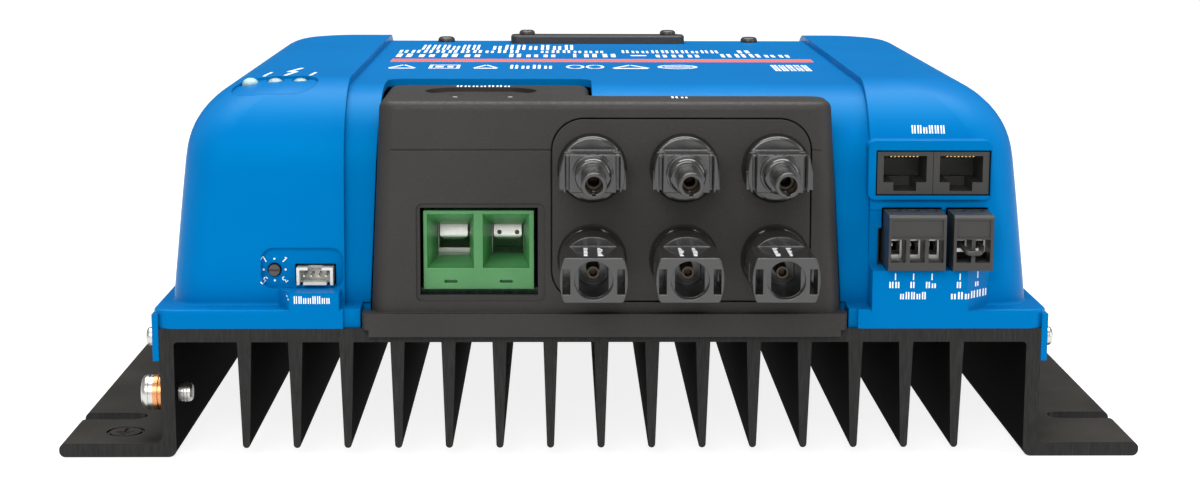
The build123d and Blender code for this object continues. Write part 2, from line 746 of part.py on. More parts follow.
with BuildPart() as rotary_switch_dial:
    rod("y", (dial_x, dial_z), dial_r, (-100.7, -92.6))
    block((dial_x - 2, dial_x + 2), (-101, -100.1), (dial_z - 0.28, dial_z + 0.28), Mode.SUBTRACT)
save(rotary_switch_dial, "rotary_switch_dial")

port_mid = (port_x[0] + port_x[1]) / 2 - 0.1
port_pin_x = [port_mid + (i - 1.5) * 2.0 for i in range(4)]
with BuildPart() as data_port:
    block((port_mid - 4.95, port_mid + 4.95), (-101.3, -93.5), (46.4, 51.2))
    block((port_mid - 4.15, port_mid + 4.15), (-102, -95), (47.1, 50.5), Mode.SUBTRACT)
    block((port_mid - 1.9, port_mid + 1.9), (-102, -97), (50, 52), Mode.SUBTRACT)
    for side in (-1, 1):
        slot = sorted((port_mid + side * 3.2, port_mid + side * 4.15))
        block(slot, (-102, -97), (46, 48), Mode.SUBTRACT)
    for x in port_pin_x:
        block((x - 0.3, x + 0.3), (-96, -93), (48.4, 49.1), Mode.SUBTRACT)
save(data_port, "data_port")

with BuildPart() as data_port_pins:
    for x in port_pin_x:
        block((x - 0.25, x + 0.25), (-100.4, -92.6), (48.5, 49.0))
        block((x - 0.25, x + 0.25), (-93.2, -92.6), (board_top, 49.0))
save(data_port_pins, "data_port_pins")

with BuildPart() as data_jacks:
    for left, right in jack_x:
        middle = (left + right) / 2
        block((left, right), jack_y, jack_z)
        block((middle - 5.85, middle + 5.85), (jack_y[0] - 1, -86), (74.6, 81.8), Mode.SUBTRACT)
        block((middle - 3.1, middle + 3.1), (jack_y[0] - 1, -88), (72.2, 76), Mode.SUBTRACT)
save(data_jacks, "data_jacks")

with BuildPart() as jack_contacts:
    for left, right in jack_x:
        for i in range(8):
            x = (left + right) / 2 + (i - 3.5) * 1.02
            # a flat beam under the roof and a sloped end at the back
            with Locations((x, -93.3, 81.45)):
                Box(0.5, 9.4, 0.35)
            with Locations(Location((x, -87.9, 80.5), (-50, 0, 0))):
                Box(0.5, 2.6, 0.35)
save(jack_contacts, "jack_contacts")

with BuildPart() as light_pipes:
    for x in lamp_x:
        rod("z", (x, lamp_y), lamp_r, (72, lamp_centre_z))
        with Locations((x, lamp_y, lamp_centre_z)):
            Sphere(lamp_r)
    block((lamp_x[0] - 3, lamp_x[2] + 3), (lamp_y - 2.5, lamp_y + 2.5), (72, 75))
save(light_pipes, "light_pipes")


# ---------------------------------------------------------------- top fittings

strip_mid = ((strip_x[0] + strip_x[1]) / 2, (strip_y[0] + strip_y[1]) / 2)
with BuildPart() as display_strip:
    with BuildSketch(Plane.XY.offset(band_top)):
        with Locations(strip_mid):
            RectangleRounded(strip_x[1] - strip_x[0], strip_y[1] - strip_y[0], 2.6)
    extrude(amount=strip_t)
    fillet(faces().sort_by(Axis.Z)[-1].edges(), 0.7)
    for x in strip_screw_x:
        rod("z", (x, strip_mid[1]), 1.25, (band_top - 1, band_top + 5), Mode.SUBTRACT)
save(display_strip, "display_strip")


def dome_screw(x, y, seat, radius, height):
    """Pan-head screw with a cross recess, standing on a level seat."""
    rod("z", (x, y), 1.2, (seat - 6.5, seat + 0.2))
    rod("z", (x, y), radius, (seat, seat + height))
    rims = [e for e in edges().filter_by(GeomType.CIRCLE) if abs(e.arc_center.X - x) < 0.1]
    fillet(max(rims, key=lambda rim: rim.arc_center.Z), height * 0.7)
    for size in ((1.9, 0.45), (0.45, 1.9)):
        block(
            (x - size[0], x + size[0]),
            (y - size[1], y + size[1]),
            (seat + height * 0.45, seat + height + 1),
            Mode.SUBTRACT,
        )


with BuildPart() as top_screws:
    for x in strip_screw_x:
        dome_screw(x, strip_mid[1], band_top + strip_t, 2.7, 1.6)
    for x in top_screw_x:
        dome_screw(x, top_screw_y, band_top, 2.9, 1.8)
save(top_screws, "top_screws")

with BuildPart() as display_socket:
    for half, deep, z, mode in ((15, 2.4, (data_top, 92), Mode.ADD), (14, 1.4, (85, 93), Mode.SUBTRACT)):
        wide = (strip_mid[0] - half, strip_mid[0] + half)
        block(wide, (strip_mid[1] - deep, strip_mid[1] + deep), z, mode)
save(display_socket, "display_socket")


# ---------------------------------------------------------------- side fasteners

with BuildPart() as cover_screws:
    for side in (-1, 1):
        for y in (-cover_screw_y, cover_screw_y):
            head = sorted((side * skirt_half, side * (skirt_half + 2.2)))
            rod("x", (y, cover_screw_z), 2.6, head)
            rims = [e for e in edges().filter_by(GeomType.CIRCLE) if abs(e.arc_center.Y - y) < 0.1]
            fillet(max(rims, key=lambda rim: side * rim.arc_center.X), 1.1)
            rod("x", (y, cover_screw_z), 1.45, sorted((side * skirt_half, side * (wall_half - 3))))
save(cover_screws, "cover_screws")

washer_out = -wall_half - 2.8
spring_out = washer_out - 1.3
with BuildPart() as earth_washer:
    rod("x", earth_at, 4.9, (washer_out, -wall_half))
    rod("x", earth_at, 2.6, (washer_out - 1, -wall_half + 1), Mode.SUBTRACT)
    # two washers, seen as a groove round the edge
    with BuildSketch(Plane.XZ.offset(-earth_at[0])) as groove:
        with Locations((washer_out + 1.4, earth_at[1] + 4.9)):
            Rectangle(0.3, 0.8)
    revolve(axis=Axis((0, earth_at[0], earth_at[1]), (1, 0, 0)), mode=Mode.SUBTRACT)
save(earth_washer, "earth_washer")

with BuildPart() as earth_spring_washer:
    rod("x", earth_at, 4.7, (spring_out, washer_out))
    rod("x", earth_at, 2.6, (spring_out - 1, washer_out + 1), Mode.SUBTRACT)
    # the ring is split at one place
    gap = (earth_at[0] - 0.4, earth_at[0] + 0.4)
    block((spring_out - 1, washer_out + 1), gap, (earth_at[1], earth_at[1] + 6), Mode.SUBTRACT)
save(earth_spring_washer, "earth_spring_washer")

with BuildPart() as earth_screw:
    head_out = spring_out - 2.0
    rod("x", earth_at, 4.9, (head_out, spring_out))
    fillet(edges().filter_by(GeomType.CIRCLE).sort_by(Axis.X)[0], 1.5)
    for size in ((2.6, 0.5), (0.5, 2.6)):
        block(
            (head_out - 1, head_out + 1.2),
            (earth_at[0] - size[0], earth_at[0] + size[0]),
            (earth_at[1] - size[1], earth_at[1] + size[1]),
            Mode.SUBTRACT,
        )
    rod("x", earth_at, 2.45, (spring_out - 0.2, -112))
    chamfer(edges().filter_by(GeomType.CIRCLE).sort_by(Axis.X)[-1], 0.5)
save(earth_screw, "earth_screw")


# ---------------------------------------------------------------- boards and parts inside

spacer_x = 102.0
spacer_y = 75.0

with BuildPart() as board_spacers:
    for x in (-spacer_x, spacer_x):
        for y in (-spacer_y, spacer_y):
            rod("z", (x, y), 3.0, (plate_top, board_low))
            rod("z", (x, y), 1.45, (plate_top - 2.4, plate_top + 1))
            rod("z", (x, y), 1.3, (board_low - 4, board_low + 1), Mode.SUBTRACT)
    for y in (-66.0, -30.0, 0.0, 40.0):
        low = control_top if y < -60 else board_top
        rod("z", (88.0, y), 2.4, (low, data_low))
    for x in (76.0, 102.0):
        rod("z", (x, -66.0), 2.4, (board_top, control_low))
    rod("z", (0.0, 60.0), 2.4, (board_top, data_low))
save(board_spacers, "board_spacers")

with BuildPart() as board_screws:
    for x in (-spacer_x, spacer_x):
        for y in (-spacer_y, spacer_y):
            rod("z", (x, y), 2.6, (board_top, board_top + 1.8))
            rod("z", (x, y), 1.25, (board_low - 3.6, board_top + 0.5))
save(board_screws, "board_screws")

with BuildPart() as power_board:
    block((-108, 108), (-89.8, 94.5), (board_low, board_top))
    block((-58, 60), (-102.8, -89), (board_low, board_top))
    block((dial_x - 5, -70), (-95.4, -89), (board_low, board_top))
    block((-66.5, -58.5), (-98, -52), (board_low - 1, board_top + 1), Mode.SUBTRACT)
    block((60.8, 69.5), (-98, -52), (board_low - 1, board_top + 1), Mode.SUBTRACT)
    with Locations((0, 0, (board_low + board_top) / 2)):
        with GridLocations(2 * spacer_x, 2 * spacer_y, 2, 2):
            Cylinder(1.3, 5, mode=Mode.SUBTRACT)
save(power_board, "power_board")

with BuildPart() as signal_boards:
    block((70.5, 107.5), (-94.5, -60), (control_low, control_top))
    for plug in plugs.values():
        for x in pole_positions(plug):
            block((x - 0.5, x + 0.5), (-85.1, -83.9), (control_low - 1, control_top + 1), Mode.SUBTRACT)
    block((70.5, 107.5), (-93.5, 20), (data_low, data_top))
    block((-30, 107.5), (19, 75), (data_low, data_top))
save(signal_boards, "signal_boards")

with BuildPart() as inductor_cores:
    for x in inductor_x:
        rod("z", (x, inductor_y), 19.0, (board_top + 3.0, board_top + 17))
        rod("z", (x, inductor_y), 10.0, (board_top + 2, board_top + 18), Mode.SUBTRACT)
save(inductor_cores, "inductor_cores")

with BuildPart() as inductor_windings:
    for x in inductor_x:
        for turn in range(turns):
            angle = (turn + 0.5) * 360 / turns
            turn_x = x + winding_r * math.cos(math.radians(angle))
            turn_y = inductor_y + winding_r * math.sin(math.radians(angle))
            with Locations(Location((turn_x, turn_y, board_top + 10), (0, 0, angle))):
                Box(13.0, 1.9, 19.8)
    add(inductor_cores.part, mode=Mode.SUBTRACT)
save(inductor_windings, "inductor_windings")

with BuildPart() as capacitors:
    for x in (-48.0, -30.0, -12.0, 6.0, 24.0):
        rod("z", (x, -38.0), 8.0, (board_top, board_top + 28))
    fillet(edges().filter_by(GeomType.CIRCLE).group_by(Axis.Z)[-1], 1.0)
save(capacitors, "capacitors")

with BuildPart() as mosfets:
    for i in range(8):
        x = -96.0 + i * 11.0
        block((x - 4.9, x + 4.9), (84.0, 88.6), (board_top + 3, board_top + 18))
        for lead in (-2.54, 0, 2.54):
            block((x + lead - 0.4, x + lead + 0.4), (86.0, 86.6), (board_top, board_top + 3))
save(mosfets, "mosfets")

with BuildPart() as mosfet_clamp:
    block((-102.5, -14.0), (82.6, 84.0), (board_top + 6, board_top + 16))
save(mosfet_clamp, "mosfet_clamp")
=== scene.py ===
import json
import math
import random

import bmesh
import bpy
from mathutils import Matrix, Vector
from mathutils.bvhtree import BVHTree


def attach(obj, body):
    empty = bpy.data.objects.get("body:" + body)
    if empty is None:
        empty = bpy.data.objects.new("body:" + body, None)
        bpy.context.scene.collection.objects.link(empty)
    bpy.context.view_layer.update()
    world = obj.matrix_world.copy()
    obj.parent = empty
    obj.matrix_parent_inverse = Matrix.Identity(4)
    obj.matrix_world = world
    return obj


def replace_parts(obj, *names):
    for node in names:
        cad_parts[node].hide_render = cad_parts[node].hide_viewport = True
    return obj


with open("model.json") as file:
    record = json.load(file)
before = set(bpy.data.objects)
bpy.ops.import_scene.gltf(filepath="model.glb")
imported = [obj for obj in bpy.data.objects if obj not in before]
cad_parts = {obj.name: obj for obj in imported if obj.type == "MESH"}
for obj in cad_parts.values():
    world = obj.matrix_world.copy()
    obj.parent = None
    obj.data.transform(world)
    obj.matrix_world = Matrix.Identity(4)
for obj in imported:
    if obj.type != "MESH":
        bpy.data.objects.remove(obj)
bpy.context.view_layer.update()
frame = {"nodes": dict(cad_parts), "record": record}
nodes = frame["nodes"]
scene = bpy.context.scene

MM = 0.001
ROOT_BODY = "enclosure"
SEED = 7

# places on the object, in mm
BATTERY_X = (-40.8, -25.8)
CONNECTOR_X = (-2.6, 22.1, 46.8)
LENS_X = (-97.9, -90.9, -83.9)
LENS_Y = -74.0
DIAL_CENTRE = (-89.0, 50.4)
EARTH_THREAD_START = (-115.2, -100.5, 16.4)

random.seed(SEED)


# ---------------------------------------------------------------- camera

CAMERA_PLACE = (-11.25, -686.7, 161.1)
CAMERA_YAW = 0.0186
CAMERA_PITCH = 0.1744
CAMERA_ROLL = -0.0033
CAMERA_LENS = 65.6
CAMERA_SENSOR = 36.0
CAMERA_CLIP = 0.01


def make_camera():
    """The camera: in front of the connectors, looking slightly down."""
    yaw, pitch, roll = CAMERA_YAW, CAMERA_PITCH, CAMERA_ROLL
    ahead = Vector((
        math.sin(yaw) * math.cos(pitch),
        math.cos(yaw) * math.cos(pitch),
        -math.sin(pitch),
    ))
    level = Vector((math.cos(yaw), -math.sin(yaw), 0.0))
    down = ahead.cross(level)
    right = math.cos(roll) * level + math.sin(roll) * down
    low = -math.sin(roll) * level + math.cos(roll) * down
    data = bpy.data.cameras.new("camera")
    data.sensor_width = CAMERA_SENSOR
    data.lens = CAMERA_LENS
    data.clip_start = CAMERA_CLIP
    camera = bpy.data.objects.new("camera", data)
    scene.collection.objects.link(camera)
    turn = Matrix((right, -low, -ahead)).transposed().to_4x4()
    camera.matrix_world = Matrix.Translation(Vector(CAMERA_PLACE) * MM) @ turn
    scene.camera = camera


make_camera()


# ---------------------------------------------------------------- materials

class Graph:
    """Builds the node tree of one material."""

    def __init__(self, name):
        self.material = bpy.data.materials.new(name)
        self.material.use_nodes = True
        self.tree = self.material.node_tree
        self.tree.nodes.clear()
        output = self.add("ShaderNodeOutputMaterial")
        self.shader = self.add("ShaderNodeBsdfPrincipled")
        self.link(self.shader.outputs["BSDF"], output.inputs["Surface"])
        self.coords = self.add("ShaderNodeTexCoord")

    def add(self, kind, **settings):
        node = self.tree.nodes.new(kind)
        for key, value in settings.items():
            setattr(node, key, value)
        return node

    def link(self, source, target):
        self.tree.links.new(source, target)

    def place(self, stretch=(1.0, 1.0, 1.0)):
        """Object coordinates in metres, stretched along the axes."""
        mapping = self.add("ShaderNodeMapping")
        mapping.inputs["Scale"].default_value = stretch
        self.link(self.coords.outputs["Object"], mapping.inputs["Vector"])
        return mapping.outputs["Vector"]

    def noise(self, scale, detail=3.0, rough=0.55, stretch=(1.0, 1.0, 1.0)):
        """Noise with about scale features to the metre."""
        node = self.add("ShaderNodeTexNoise")
        node.inputs["Scale"].default_value = scale
        node.inputs["Detail"].default_value = detail
        node.inputs["Roughness"].default_value = rough
        self.link(self.place(stretch), node.inputs["Vector"])
        return node.outputs["Fac"]

    def cells(self, scale):
        """Distance to the nearest of many scattered points."""
        node = self.add("ShaderNodeTexVoronoi")
        node.inputs["Scale"].default_value = scale
        self.link(self.place(), node.inputs["Vector"])
        return node.outputs["Distance"]

    def ramp(self, value, stops):
        """A colour ramp; stops are (place, colour)."""
        node = self.add("ShaderNodeValToRGB")
        ramp = node.color_ramp
        while len(ramp.elements) < len(stops):
            ramp.elements.new(0.5)
        for element, (place, colour) in zip(ramp.elements, stops):
            element.position = place
            element.color = (*colour, 1.0)
        self.link(value, node.inputs["Fac"])
        return node.outputs["Color"]

    def spread(self, value, low, high, span=(0.3, 0.7)):
        """Maps the span of a pattern onto the range from low to high."""
        node = self.add("ShaderNodeMapRange")
        node.inputs["From Min"].default_value = span[0]
        node.inputs["From Max"].default_value = span[1]
        node.inputs["To Min"].default_value = low
        node.inputs["To Max"].default_value = high
        self.link(value, node.inputs["Value"])
        return node.outputs["Result"]

    def math(self, operation, first, second):
        """A two-input operation on outputs or numbers."""
        node = self.add("ShaderNodeMath", operation=operation)
        for socket, value in zip(node.inputs, (first, second)):
            if isinstance(value, (int, float)):
                socket.default_value = value
            else:
                self.link(value, socket)
        return node.outputs["Value"]

    def mix(self, amount, first, second):
        """Mixes two colours, each an output or a plain colour, by a value."""
        node = self.add("ShaderNodeMix", data_type="RGBA")
        colours = [socket for socket in node.inputs if socket.type == "RGBA"]
        self.link(amount, node.inputs["Factor"])
        for socket, value in zip(colours, (first, second)):
            if isinstance(value, tuple):
                socket.default_value = (*value, 1.0)
            else:
                self.link(value, socket)
        return next(socket for socket in node.outputs if socket.type == "RGBA")

    def bumps(self, layers, edge=0.0):
        """Stacks height patterns; each layer is (pattern, strength, depth in mm)."""
        normal = None
        if edge:
            bevel = self.add("ShaderNodeBevel", samples=6)
            bevel.inputs["Radius"].default_value = edge * MM
            normal = bevel.outputs["Normal"]
        for pattern, strength, depth in layers:
            bump = self.add("ShaderNodeBump")
            bump.inputs["Strength"].default_value = strength
            bump.inputs["Distance"].default_value = depth * MM
            self.link(pattern, bump.inputs["Height"])
            if normal is not None:
                self.link(normal, bump.inputs["Normal"])
            normal = bump.outputs["Normal"]
        self.link(normal, self.shader.inputs["Normal"])

    def split(self, output="Object"):
        """The X, Y and Z outputs of a coordinate."""
        node = self.add("ShaderNodeSeparateXYZ")
        self.link(self.coords.outputs[output], node.inputs["Vector"])
        return node.outputs


def shade(colour, factor):
    """A darker or lighter tone of a colour."""
    return tuple(min(channel * factor, 1.0) for channel in colour)


def moulded(name, colour, rough, grain, depth, edge=0.25, vary=0.06, specular=0.5):
    """Moulded plastic or paint: fine grain, soft tone changes, rounded edges."""
    g = Graph(name)
    cloud = g.noise(22.0, 4.0)
    tones = [(0.3, shade(colour, 1 - vary)), (0.7, shade(colour, 1 + vary))]
    g.link(g.ramp(cloud, tones), g.shader.inputs["Base Color"])
    fine = g.noise(grain, 2.0, 0.6)
    blend = g.math("ADD", g.math("MULTIPLY", fine, 0.7), g.math("MULTIPLY", cloud, 0.3))
    g.link(g.spread(blend, rough - 0.05, rough + 0.06), g.shader.inputs["Roughness"])
    g.shader.inputs["Specular IOR Level"].default_value = specular
    g.bumps([(fine, 0.5, depth), (g.noise(grain / 9, 2.0), 0.25, depth)], edge)
    return g.material


PLATED_EDGE = 0.12


def plated(name, colour, rough, stretch=(1.0, 1.0, 1.0)):
    """Plated or bare metal with fine draw marks and a few dull spots."""
    g = Graph(name)
    marks = g.noise(2600.0, 3.0, 0.7, stretch)
    spots = g.noise(260.0, 3.0)
    tones = [(0.35, shade(colour, 0.82)), (0.65, colour)]
    g.link(g.ramp(spots, tones), g.shader.inputs["Base Color"])
    g.shader.inputs["Metallic"].default_value = 1.0
    blend = g.math("ADD", g.math("MULTIPLY", marks, 0.6), g.math("MULTIPLY", spots, 0.4))
    g.link(g.spread(blend, rough - 0.07, rough + 0.12), g.shader.inputs["Roughness"])
    g.bumps([(marks, 0.25, 0.01)], PLATED_EDGE)
    return g.material


def facing(g, axis):
    """How squarely the surface faces along an axis, 0 to 1."""
    return g.math("ABSOLUTE", g.split("Normal")[axis], 0.0)


def blue_shell():
    """Satin blue housing with a very fine grain."""
    g = Graph("blue_shell")
    cloud = g.noise(14.0, 4.0)
    tones = [(0.3, (0.0, 0.122, 0.352)), (0.7, (0.0, 0.135, 0.384))]
    g.link(g.ramp(cloud, tones), g.shader.inputs["Base Color"])
    fine = g.noise(2100.0, 2.0, 0.6)
    g.link(g.spread(fine, 0.34, 0.44), g.shader.inputs["Roughness"])
    g.shader.inputs["Specular IOR Level"].default_value = 0.16
    g.shader.inputs["Specular Tint"].default_value = (0.0, 0.75, 1.0, 1.0)
    peel = g.noise(320.0, 2.0, 0.4)
    g.bumps([(fine, 0.35, 0.03), (peel, 0.12, 0.05)], 0.5)
    return g.material


def black_shell():
    """Black moulding with a leathery grain and small pale speckles."""
    g = Graph("black_shell")
    grain = g.cells(1250.0)
    cloud = g.noise(30.0, 4.0)
    speckle = g.noise(1700.0, 2.0, 0.8)
    base = g.ramp(cloud, [(0.3, (0.021, 0.0192, 0.0176)), (0.7, (0.028, 0.0256, 0.0236))])
    pale = g.spread(speckle, 0.0, 0.50, (0.62, 0.80))
    colour = g.mix(pale, base, (0.075, 0.070, 0.066))
    g.link(colour, g.shader.inputs["Base Color"])
    g.link(g.spread(grain, 0.42, 0.60, (0.0, 0.8)), g.shader.inputs["Roughness"])
    g.shader.inputs["Specular IOR Level"].default_value = 0.28
    g.bumps([(grain, 0.45, 0.05), (speckle, 0.3, 0.03)], 0.4)
    return g.material


def black_anodised():
    """Extruded heat sink: lengthwise die lines, sawn ends, and X-facing flanks painted near-black as
    painted shade between the fins.
    """
    g = Graph("black_anodised")
    lines = g.noise(900.0, 2.0, 0.7, (1.0, 0.012, 1.0))
    cloud = g.noise(40.0, 4.0)
    sawn = g.noise(2400.0, 2.0, 0.7, (1.0, 1.0, 0.08))
    end = g.spread(facing(g, "Y"), 0.0, 1.0, (0.85, 0.97))
    upright = g.spread(facing(g, "X"), 0.0, 1.0, (0.5, 0.9))
    dark = g.ramp(cloud, [(0.3, (0.029, 0.0268, 0.0242)), (0.7, (0.042, 0.0388, 0.0350))])
    cut = g.ramp(sawn, [(0.3, (0.019, 0.0185, 0.0182)), (0.7, (0.031, 0.0301, 0.0296))])
    # painted shade: faces that look along X, the fin flanks, get a near-black colour for the shade
    # between the fins
    sides = g.mix(upright, dark, (0.0015, 0.0014, 0.0013))
    g.link(g.mix(end, sides, cut), g.shader.inputs["Base Color"])
    blend = g.math("ADD", g.math("MULTIPLY", lines, 0.5), g.math("MULTIPLY", cloud, 0.5))
    matt = g.math("MULTIPLY", upright, 0.95)
    g.link(g.math("MAXIMUM", g.spread(blend, 0.42, 0.58), matt), g.shader.inputs["Roughness"])
    g.shader.inputs["Specular IOR Level"].default_value = 0.03
    g.bumps([(lines, 0.35, 0.03), (g.noise(1500.0, 2.0, 0.6), 0.3, 0.02)], 0.3)
    return g.material


def lamp_lens():
    """Frosted lamp windows; the left one is lit."""
    g = Graph("lamp_lens")
    frost = g.noise(1500.0, 3.0, 0.7)
    tones = [(0.3, (0.20, 0.30, 0.33)), (0.7, (0.30, 0.40, 0.42))]
    g.link(g.ramp(frost, tones), g.shader.inputs["Base Color"])
    g.link(g.spread(frost, 0.22, 0.38), g.shader.inputs["Roughness"])
    place = g.split()
    away = g.math("ABSOLUTE", g.math("SUBTRACT", place["X"], LENS_X[0] * MM), 0.0)
    across = g.spread(away, 1.0, 0.0, (0.9 * MM, 2.5 * MM))
    upper = g.spread(place["Z"], 0.0, 1.0, (98.7 * MM, 100.1 * MM))
    lit = g.math("MULTIPLY", across, upper)
    g.shader.inputs["Emission Color"].default_value = (0.30, 0.85, 0.95, 1.0)
    g.link(g.math("MULTIPLY", lit, 0.9), g.shader.inputs["Emission Strength"])
    g.bumps([(frost, 0.3, 0.03)], 0.3)
    return g.material


def green_plastic():
    """Slightly translucent green moulding, painted lighter inside its funnels as painted light."""
    g = Graph("green_plastic")
    cloud = g.noise(120.0, 3.0)
    tones = [(0.3, (0.052, 0.205, 0.064)), (0.7, (0.064, 0.236, 0.076))]
    # painted light: the colour grows lighter towards the back of the funnels, from Y -104.3 to -102.0
    # mm
    funnel_painted_light = g.spread(g.split()["Y"], 0.0, 1.0, (-104.3 * MM, -102.0 * MM))
    colour = g.mix(funnel_painted_light, g.ramp(cloud, tones), (0.100, 0.370, 0.125))
    g.link(colour, g.shader.inputs["Base Color"])
    fine = g.noise(2400.0, 2.0, 0.6)
    g.link(g.spread(fine, 0.36, 0.48), g.shader.inputs["Roughness"])
    g.shader.inputs["Subsurface Weight"].default_value = 0.35
    g.shader.inputs["Subsurface Scale"].default_value = 0.004
    g.shader.inputs["Subsurface Radius"].default_value = (0.5, 1.0, 0.55)
    g.bumps([(fine, 0.4, 0.02)], 0.25)
    return g.material


def circuit_board():
    """Dark green solder mask with faint tracks."""
    g = Graph("circuit_board")
    tracks = g.add("ShaderNodeTexBrick")
    tracks.inputs["Scale"].default_value = 140.0
    tracks.inputs["Mortar Size"].default_value = 0.05
    tracks.inputs["Color1"].default_value = (0.002, 0.016, 0.008, 1.0)
    tracks.inputs["Color2"].default_value = (0.003, 0.022, 0.011, 1.0)
    tracks.inputs["Mortar"].default_value = (0.006, 0.040, 0.018, 1.0)
    g.link(g.place(), tracks.inputs["Vector"])
    g.link(tracks.outputs["Color"], g.shader.inputs["Base Color"])
    cloud = g.noise(600.0, 3.0)
    g.link(g.spread(cloud, 0.25, 0.4), g.shader.inputs["Roughness"])
    g.bumps([(tracks.outputs["Fac"], 0.3, 0.03), (cloud, 0.2, 0.02)], 0.2)
    return g.material


# name, colour, roughness, grain to the metre and its depth in mm,
# then edge radius in mm, tone change and specular
MOULDED = (
    ("connector_black", (0.015, 0.0146, 0.0138), 0.17, 1900.0, 0.006, 0.5, 0.1, 0.9),
    ("dark_plastic", (0.030, 0.0292, 0.0275), 0.45, 2000.0, 0.03, 0.2, 0.08, 0.4),
    ("dial_plastic", (0.060, 0.046, 0.042), 0.45, 2200.0, 0.03, 0.15),
    ("white_nylon", (0.62, 0.62, 0.57), 0.38, 1700.0, 0.02, 0.15, 0.03),
    ("seal_rubber", (0.014, 0.014, 0.014), 0.7, 1400.0, 0.05, 0.1, 0.12, 0.3),
    ("black_screw", (0.022, 0.020, 0.018), 0.36, 1800.0, 0.03, 0.15, 0.15, 0.6),
    ("link_wire", (0.030, 0.030, 0.029), 0.34, 1500.0, 0.03, 0.0, 0.08),
    ("capacitor_can", (0.05, 0.06, 0.12), 0.3, 900.0, 0.02, 0.3),
    ("core_powder", (0.16, 0.16, 0.15), 0.6, 1300.0, 0.06, 0.4),
    ("chip_plastic", (0.018, 0.018, 0.018), 0.5, 2100.0, 0.03, 0.2),
    ("print_white", (0.80, 0.82, 0.84), 0.5, 2600.0, 0.01, 0.0, 0.03),
    ("print_red", (0.72, 0.120, 0.095), 0.5, 2600.0, 0.01, 0.0, 0.03),
)

# name, colour, roughness, then stretch of the draw marks
PLATED = (
    ("nickel_cage", (0.84, 0.83, 0.79), 0.36, (1.0, 1.0, 0.1)),
    ("tinned_contact", (0.66, 0.65, 0.62), 0.3, (1.0, 0.1, 1.0)),
    ("gold_contact", (0.86, 0.62, 0.26), 0.25, (1.0, 0.1, 1.0)),
    ("steel_screw", (0.62, 0.61, 0.58), 0.28),
    ("copper_washer", (0.74, 0.33, 0.14), 0.3),
    ("dull_contact", (0.16, 0.13, 0.10), 0.45, (1.0, 0.1, 1.0)),
    ("brass_spacer", (0.72, 0.55, 0.26), 0.3, (1.0, 1.0, 0.1)),
    ("copper_wire", (0.62, 0.26, 0.10), 0.35),
)

MATERIALS = {
    "blue_shell": blue_shell(),
    "black_shell": black_shell(),
    "black_anodised": black_anodised(),
    "lamp_lens": lamp_lens(),
    "green_plastic": green_plastic(),
    "circuit_board": circuit_board(),
}
for row in MOULDED:
    MATERIALS[row[0]] = moulded(*row)
for row in PLATED:
    MATERIALS[row[0]] = plated(*row)

# the contacts far inside the panel connectors get the dark dull_contact material as painted shade
PAINTED_SHADE_NODE = "pv_contacts"

for entry in frame["record"]["subparts"]:
    mesh = nodes[entry["node"]].data
    mesh.materials.clear()
    # painted shade: this node takes the dark dull_contact material instead of its own slot
    painted_shade = entry["node"] == PAINTED_SHADE_NODE
    mesh.materials.append(MATERIALS["dull_contact" if painted_shade else entry["material_slot"]])


# ---------------------------------------------------------------- prints

INK_RISE = 0.05
INK_SINK = 0.12
INK_STEP = 1.2
INK_START = 30.0
RING_SIDES = 20
POST_HEIGHTS = (1.0, 1.0, 0.75)
SECOND_POST = 0.44
DIGIT_WEIGHT = 0.36
DIGIT_SIZE = 0.8
DIAL_TICKS = (2.75, 3.25)
DIAL_DIGITS_R = 3.9


class Surface:
    """A CAD node's skin, on which flat artwork is laid along one direction."""

    def __init__(self, node, origin, right, up):
        mesh = nodes[node].data
        corners = [vertex.co.copy() for vertex in mesh.vertices]
        faces = [tuple(face.vertices) for face in mesh.polygons]
        self.tree = BVHTree.FromPolygons(corners, faces)
        self.origin = Vector(origin)
        self.right = Vector(right)
        self.up = Vector(up)
        self.out = self.right.cross(self.up)

    def point(self, spot, lift):
        """Where a spot of the artwork lands on the skin, lifted by some mm."""
        start = self.origin + self.right * spot[0] + self.up * spot[1] + self.out * INK_START
        hit = self.tree.ray_cast(start * MM, -self.out)[0]
        if hit is None:
            raise RuntimeError(f"artwork at {spot} misses the surface")
        return hit + self.out * lift * MM


def fine_path(points):
    """The same path with extra points, so that artwork follows a curved skin."""
    path = [Vector(points[0])]
    for point in points[1:]:
        last = path[-1]
        step = Vector(point) - last
        count = max(1, math.ceil(step.length / INK_STEP))
        path += [last + step * (i + 1) / count for i in range(count)]
    return path


def stroke(points, width):
    """Left and right edges of a stroke of even width along an open path."""
    path = fine_path(points)
    left, right = [], []
    for i, point in enumerate(path):
        before = path[max(i - 1, 0)]
        after = path[min(i + 1, len(path) - 1)]
        along = (after - before).normalized()
        side = Vector((-along.y, along.x)) * width / 2
        left.append(point + side)
        right.append(point - side)
    return left, right


def bar(x, y):
    """A plain block between two values on each axis."""
    middle = (y[0] + y[1]) / 2
    return stroke(((x[0], middle), (x[1], middle)), y[1] - y[0])


def skin(bm, rings, smooth=False):
    """Joins a row of closed rings side by side and caps both ends."""
    for first, second in zip(rings, rings[1:]):
        for i in range(len(first)):
            j = (i + 1) % len(first)
            bm.faces.new((first[i], first[j], second[j], second[i])).smooth = smooth
    bm.faces.new(rings[0])
    bm.faces.new(rings[-1])


def piece(name, bm, material):
    """A new mesh object that rides on the enclosure."""
    bmesh.ops.recalc_face_normals(bm, faces=bm.faces)
    mesh = bpy.data.meshes.new(name)
    bm.to_mesh(mesh)
    bm.free()
    mesh.materials.append(MATERIALS[material])
    item = bpy.data.objects.new(name, mesh)
    scene.collection.objects.link(item)
    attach(item, ROOT_BODY)
    return item


